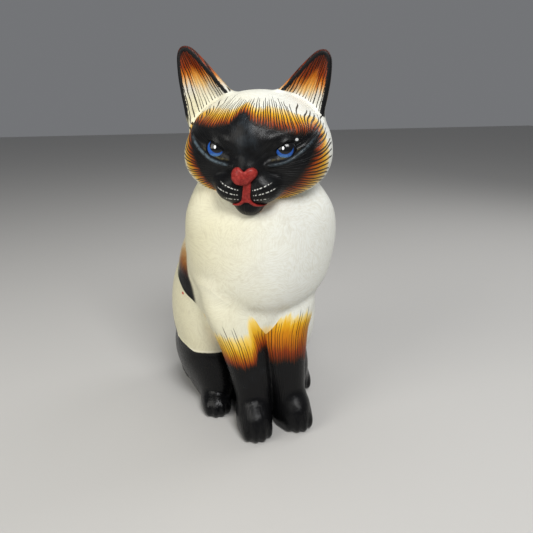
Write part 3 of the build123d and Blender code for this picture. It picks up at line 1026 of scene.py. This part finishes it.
def paint_head():
    """Head: a black mask with an orange fringe brushed out into cream, white whisker dashes, and painted
    sheen, highlights and a glint on the black.
    """
    t = Paint("head_paint")
    p, q = t.place("mm"), t.place("hm")
    x, _, z = t.split(q)
    away, along = t.mark("mask_d"), t.mark("mask_u")
    band, reach = t.mark("band"), t.mark("reach")
    colour, stroke = brushed(t, p)
    black, rub = lacquer(t, q)
    comb = t.minus(t.noise(t.join(t.times(along, 0.55), t.times(away, 0.08)), rough=0.7), 0.5)
    share = t.over(t.plus(away, t.times(comb, 9.0)), band)
    colour = t.mix(t.ease(share, 1.0, 0.8), colour, t.ramp(share, FRINGE))
    line = hairs(t, along, away, 1.95, 0.5, reach, 0.16)
    colour = t.wash(line, 0.95, colour, MASK_HAIR)
    dark = t.ease(t.plus(away, t.times(comb, 2.5)), 0.7, -0.4)
    # painted sheen: a cloudy grey-blue highlight down the middle of the forehead and the bridge of the nose
    nose_ridge = t.times(t.ease(t.math("ABSOLUTE", x), 14, 1), t.ease(z, -10, 14))
    sheen_cloud = t.ease(t.noise(q, 0.1, detail=4.0, rough=0.65), 0.4, 0.72)
    black = t.wash(t.times(nose_ridge, sheen_cloud), 0.8, black, RIDGE_SHEEN)
    colour = t.mix(dark, colour, black)
    dry = t.noise(t.join(t.times(x, 0.5), t.times(z, 0.5), 7.0), rough=0.7)
    lid, gold = t.mark("lid"), t.mark("gold")
    # painted highlight: a broken grey-blue line along the raised rim under each eye, stronger under the
    # cat's right eye
    side = t.blend(t.ease(x, -3, 3), 0.85, 0.42)
    lid_highlight = t.times(t.times(lid, side), t.ease(dry, 0.28, 0.62))
    colour = t.mix(lid_highlight, colour, LID_HIGHLIGHT)
    colour = t.mix(t.times(t.times(gold, 0.55), t.ease(dry, 0.35, 0.6)), colour, LID_GOLD)
    # painted glint: a small white dot by the outer corner of the cat's left eye
    spark = t.vector("DISTANCE", q, t.place("spark"))
    colour = t.mix(t.ease(spark, 1.15, 0.75), colour, CORNER_GLINT_WHITE)
    colour = t.mix(whisker_dashes(t, q), colour, WHISKER)
    rough = t.blend(dark, t.blend(stroke, 0.48, 0.32), t.blend(rub, 0.26, 0.4))
    bump = t.minus(t.blend(dark, stroke, t.times(rub, 0.4)), t.times(line, 0.5))
    return t.finish(colour, rough, bump, 0.25)


def paint_ear():
    """Ear: a black rim round a hairy hollow, rust at the tip down to white; its back is orange to cream."""
    t = Paint("ear_paint")
    p = t.place("mm")
    colour, stroke = brushed(t, p)
    edge, up, fan, front, inner = (t.mark(name) for name in ("edge", "up", "fan", "front", "inner"))
    comb = t.minus(t.noise(t.join(t.times(fan, 0.6), t.times(up, 3.0)), rough=0.7), 0.5)
    share = t.plus(t.mark("tint"), t.times(comb, 0.28))
    inside, behind = t.ramp(share, EAR_HOLLOW), t.ramp(share, EAR_BACK)
    colour = t.mix(t.ease(share, 0.24, 0.44), colour, t.mix(front, behind, inside))
    line = t.times(hairs(t, fan, t.times(t.minus(1.0, up), 50), 2.1, 0.44, 66.0, 0.15), front)
    colour = t.wash(line, 0.95, colour, EAR_HAIR)
    fray = t.swing(t.grain(p, 0.9, detail=2.0), 1.8)
    depth_in = t.plus(t.times(edge, -1.0), fray)  # millimetres in from the ear's outline
    outer_rim = t.ease(depth_in, 3.4, 2.7)
    inner_rim = t.times(t.ease(depth_in, 0.9, 1.5), t.ease(depth_in, 4.2, 3.5))
    rim = t.times(t.times(t.blend(inner, outer_rim, inner_rim), t.ease(up, 0.0, 0.16)), front)
    colour = t.mix(rim, colour, BLACK)
    rough = t.blend(rim, t.blend(stroke, 0.46, 0.32), 0.52)
    return t.finish(colour, rough, t.blend(rim, t.minus(stroke, t.times(line, 0.5)), 0.5), 0.22)


def paint_eye():
    """Eye: black, with a blue crescent under the pupil and a white dot of painted highlight."""
    t = Paint("eye_enamel")
    x, _, z = t.split(t.place("eye"))

    def disc(cx, cz, r):
        dx, dz = t.minus(x, cx), t.minus(z, cz)
        d = t.math("SQRT", t.plus(t.times(dx, dx), t.times(dz, dz)))
        return t.ease(d, r + DISC_SOFT, r - DISC_SOFT)

    iris, pupil = disc(0.2, 0.6, 5.9), disc(1.0, 2.9, 5.2)
    blue = t.mix(t.ease(z, -2.0, -5.0), DEEP_BLUE, SKY_BLUE)
    fleck = t.noise(t.place("eye"), 0.9)
    blue = t.wash(t.ease(fleck, 0.45, 0.7), 0.4, blue, INK_BLUE)
    share = t.times(iris, t.minus(1.0, pupil))
    colour = t.mix(share, PUPIL, blue)
    # painted highlight: a soft white dot on the eye
    glint_shape = t.join(t.times(t.minus(x, -0.3), 1.5), t.minus(z, 1.6))
    colour = t.mix(t.ease(t.vector("LENGTH", glint_shape), 1.3, 0.9), colour, GLINT)
    return t.finish(colour, t.blend(share, 0.16, 0.2), fleck, 0.03, 0.4)


def paint_red():
    t = Paint("red_paint")
    p = t.place("mm")
    mottle = t.grain(p, 0.5, detail=4.0, rough=0.65)
    colour = t.mix(t.ease(mottle, 0.35, 0.7), DARK_RED, LIGHT_RED)
    return t.finish(colour, t.blend(mottle, 0.28, 0.42), mottle, 0.2)


def paint_clay():
    """The underside: bare fired clay with smears of glaze and grit."""
    t = Paint("bare_clay")
    p = t.place("mm")
    grit = t.grain(p, 1.8, detail=4.0, rough=0.75)
    stain = t.grain(p, 0.06)
    colour = t.mix(t.ease(stain, 0.35, 0.65), CLAY, PALE_CLAY)
    colour = t.mix(t.times(t.ease(grit, 0.6, 0.75), 0.5), colour, GRIT)
    return t.finish(colour, t.blend(grit, 0.95, 0.7), grit, 0.35)


# ---- pieces
BASE_INSET = WALL + 0.4  # leaves a fine gap round the base plate
BASE_MIDDLE, BASE_HALF = 3.3, 2.9  # height of the base plate's middle, and half its thickness
VENT_AT, VENT_R = 22.0, 4.0
HEART = [
    (-0.6, -10.6), (2.2, -8.6), (5.2, -8.2), (7.6, -10.2), (7.5, -13.2), (4.8, -16.4), (1.4, -19.2),
    (-3.0, -19.6), (-6.4, -18.6), (-9.0, -15.4), (-9.3, -11.4), (-7.0, -8.6), (-3.6, -8.2),
]
STEM = [(1.0, -17), (0.9, -22), (0.3, -26), (0.0, -29)]
LIPS = [
    [(-0.8, -28), (-2.8, -31.2), (-6, -33.2), (-9.8, -33.6)],
    [(0.8, -28), (3.0, -31.4), (7.0, -33.6), (11.6, -33.8)],
]
SUNK = 1.5  # how deep the nose and the mouth reach into the head


def split_up(v, faces, fields):
    """Cuts a surface where the nearest lump changes; yields (name, vertices, faces)."""
    near = np.stack(list(fields.values()))
    for i, name in enumerate(fields):
        rest = np.delete(near, i, 0).min(0)
        yield name, *clip(v, faces, near[i] - rest)


def build_body():
    v, quads = surface(body_field, (-68, -80, -4), (68, 92, 204), CELL)
    for name, pv, pf in split_up(v, quads, body_lumps(v)):
        *_, slot, look = LUMPS[name]
        piece(name + "_skin", pv, pf, [name], slot, look)


def build_base():
    def slab(p):
        f = smax(torso_core(p, BASE_INSET), np.abs(p[:, 2] - BASE_MIDDLE) - BASE_HALF, 0.8)
        return smax(f, VENT_R - np.hypot(p[:, 0], p[:, 1] - VENT_AT), 0.8)

    v, quads = surface(slab, (-34, -30, -2), (34, 72, 9), 0.9)
    piece("base_plate_skin", v, quads, ["base_plate"], "base", "clay")


def build_head():
    v, quads = surface(whole_head, (-66, -66, -48), (64, 56, 76), FINE)
    lumps = {"head_shell": head_field(v)}
    for side, name in ((-1, "ear_right"), (1, "ear_left")):
        lumps[name] = ear_field(v, side) + 1
    for name, pv, pf in split_up(v, quads, lumps):
        slot, look = ("head", "head") if name == "head_shell" else ("ears", name)
        piece(name + "_skin", from_head(pv), pf, [name], slot, look)


def build_detail(name, field, lo, hi, slot, look):
    """A small piece whose field is in the head's frame."""
    v, quads = surface(field, lo, hi, DETAIL)
    piece(name + "_skin", from_head(v), quads, [name], slot, look)


def build_eyes():
    for side, name in ((1, "eye_left"), (-1, "eye_right")):
        at = EYE_PLACE[side]

        def ball(q):
            return smax(blob(q, at, EYE_HALF), q[:, 1] - at[1] + 1, 0.8)

        lo, hi = (at[0] - 10, -48, -8), (at[0] + 10, -30, 12)
        build_detail(name, ball, lo, hi, "eyes", name)


def build_nose():
    def nose(q):
        f, d = head_field(q), inside_outline(q[:, 0], q[:, 2], HEART)
        dome = 2.3 + 0.8 * step(0, 6, -d)
        return smax(smax(f - dome, d, 2.0), -f - SUNK, 0.5)

    build_detail("nose", nose, (-14, -64, -24), (13, -44, -3), "nose", "red")


def build_mouth():
    def mouth(q):
        f = head_field(q)
        d = line_distance(q[:, 0], q[:, 2], smooth_line(STEM, 8))[0] - 2.7
        for lip in LIPS:
            away, along = line_distance(q[:, 0], q[:, 2], smooth_line(lip, 10))
            d = smin(d, away - (1.5 - 0.9 * along), 1.0)
        return smax(smax(f - 1.0, d, 1.2), -f - SUNK, 0.5)

    build_detail("mouth", mouth, (-17, -62, -39), (16, -38, -14), "mouth", "red")


# ---- stage, light and camera
FLOOR_SIZE = 6  # metres
FLOOR_COLOUR, FLOOR_ROUGH = (0.52, 0.51, 0.49), 0.6
# Each lamp: place from the cat's middle and size in metres, watts, colour
LAMPS = {
    "key": ((0.03, -0.8, 0.88), (0.46, 0.38), 11.8, (1, 1, 1)),
    "fill": ((-0.8, -0.34, 0.42), (0.5, 0.6), 4.2, (1.0, 0.98, 0.92)),
    "rim": ((0.75, 0.25, 0.55), (0.4, 0.6), 2.2, (1, 1, 1)),
    "top": ((0.0, 0.3, 0.9), (0.8, 0.5), 1.2, (1, 1, 1)),
}
SKY, SKY_STRENGTH = (0.82, 0.84, 0.88), 0.21
CAMERA_AT = (-0.11, -0.4013, 0.1125)  # metres from the cat's middle
CAMERA_DOWN, CAMERA_TURN = 18.3, -17  # degrees
LENS, SENSOR = 36.0, 36.0  # millimetres


def build_floor(height):
    t = Paint("floor_paint")
    t.feed(t.shader, {"Base Color": FLOOR_COLOUR, "Roughness": FLOOR_ROUGH})
    bpy.ops.mesh.primitive_plane_add(size=FLOOR_SIZE, location=(0, 0, height))
    floor = bpy.context.object
    floor.name = "floor"
    floor.data.materials.append(t.mat)


def build_lamp(name, middle, at, size, power, tint):
    data = bpy.data.lights.new(name, "AREA")
    data.shape, data.size, data.size_y = "RECTANGLE", *size
    data.energy, data.color = power, tint
    lamp = bpy.data.objects.new(name, data)
    bpy.context.scene.collection.objects.link(lamp)
    lamp.location = middle + np.array(at)
    lamp.rotation_euler = (Vector(middle) - lamp.location).to_track_quat("-Z", "Y").to_euler()


def build_camera(middle):
    cam = bpy.data.cameras.new("camera")
    cam.lens, cam.sensor_width = LENS, SENSOR
    eye = bpy.data.objects.new("camera", cam)
    bpy.context.scene.collection.objects.link(eye)
    eye.location = middle + np.array(CAMERA_AT)
    eye.rotation_euler = (math.radians(90 - CAMERA_DOWN), 0, math.radians(CAMERA_TURN))
    bpy.context.scene.camera = eye


def build_stage():
    lo, hi = np.array(cad_box)
    middle = (lo + hi) / 2
    build_floor(lo[2])
    for name, row in LAMPS.items():
        build_lamp(name, middle, *row)
    world = bpy.data.worlds.new("studio")
    bpy.context.scene.world = world
    world.use_nodes = True
    background = world.node_tree.nodes["Background"]
    background.inputs["Color"].default_value = (*SKY, 1)
    background.inputs["Strength"].default_value = SKY_STRENGTH
    bpy.context.scene.view_settings.view_transform = "Standard"
    build_camera(middle)


ear, eye, red = paint_ear(), paint_eye(), paint_red()
looks = {
    "torso": (paint_body(), torso_marks),
    "thigh": (paint_thigh(), thigh_marks),
    "leg_left": (paint_leg("leg_paint_left", 1), leg_marks(1)),
    "leg_right": (paint_leg("leg_paint_right", -1), leg_marks(-1)),
    "black": (paint_black(), no_marks),
    "clay": (paint_clay(), no_marks),
    "head": (paint_head(), head_marks),
    "ear_left": (ear, ear_marks(1)),
    "ear_right": (ear, ear_marks(-1)),
    "eye_left": (eye, eye_marks(1)),
    "eye_right": (eye, eye_marks(-1)),
    "red": (red, no_marks),
}
for build in (build_body, build_base, build_head, build_eyes, build_nose, build_mouth, build_stage):
    build()
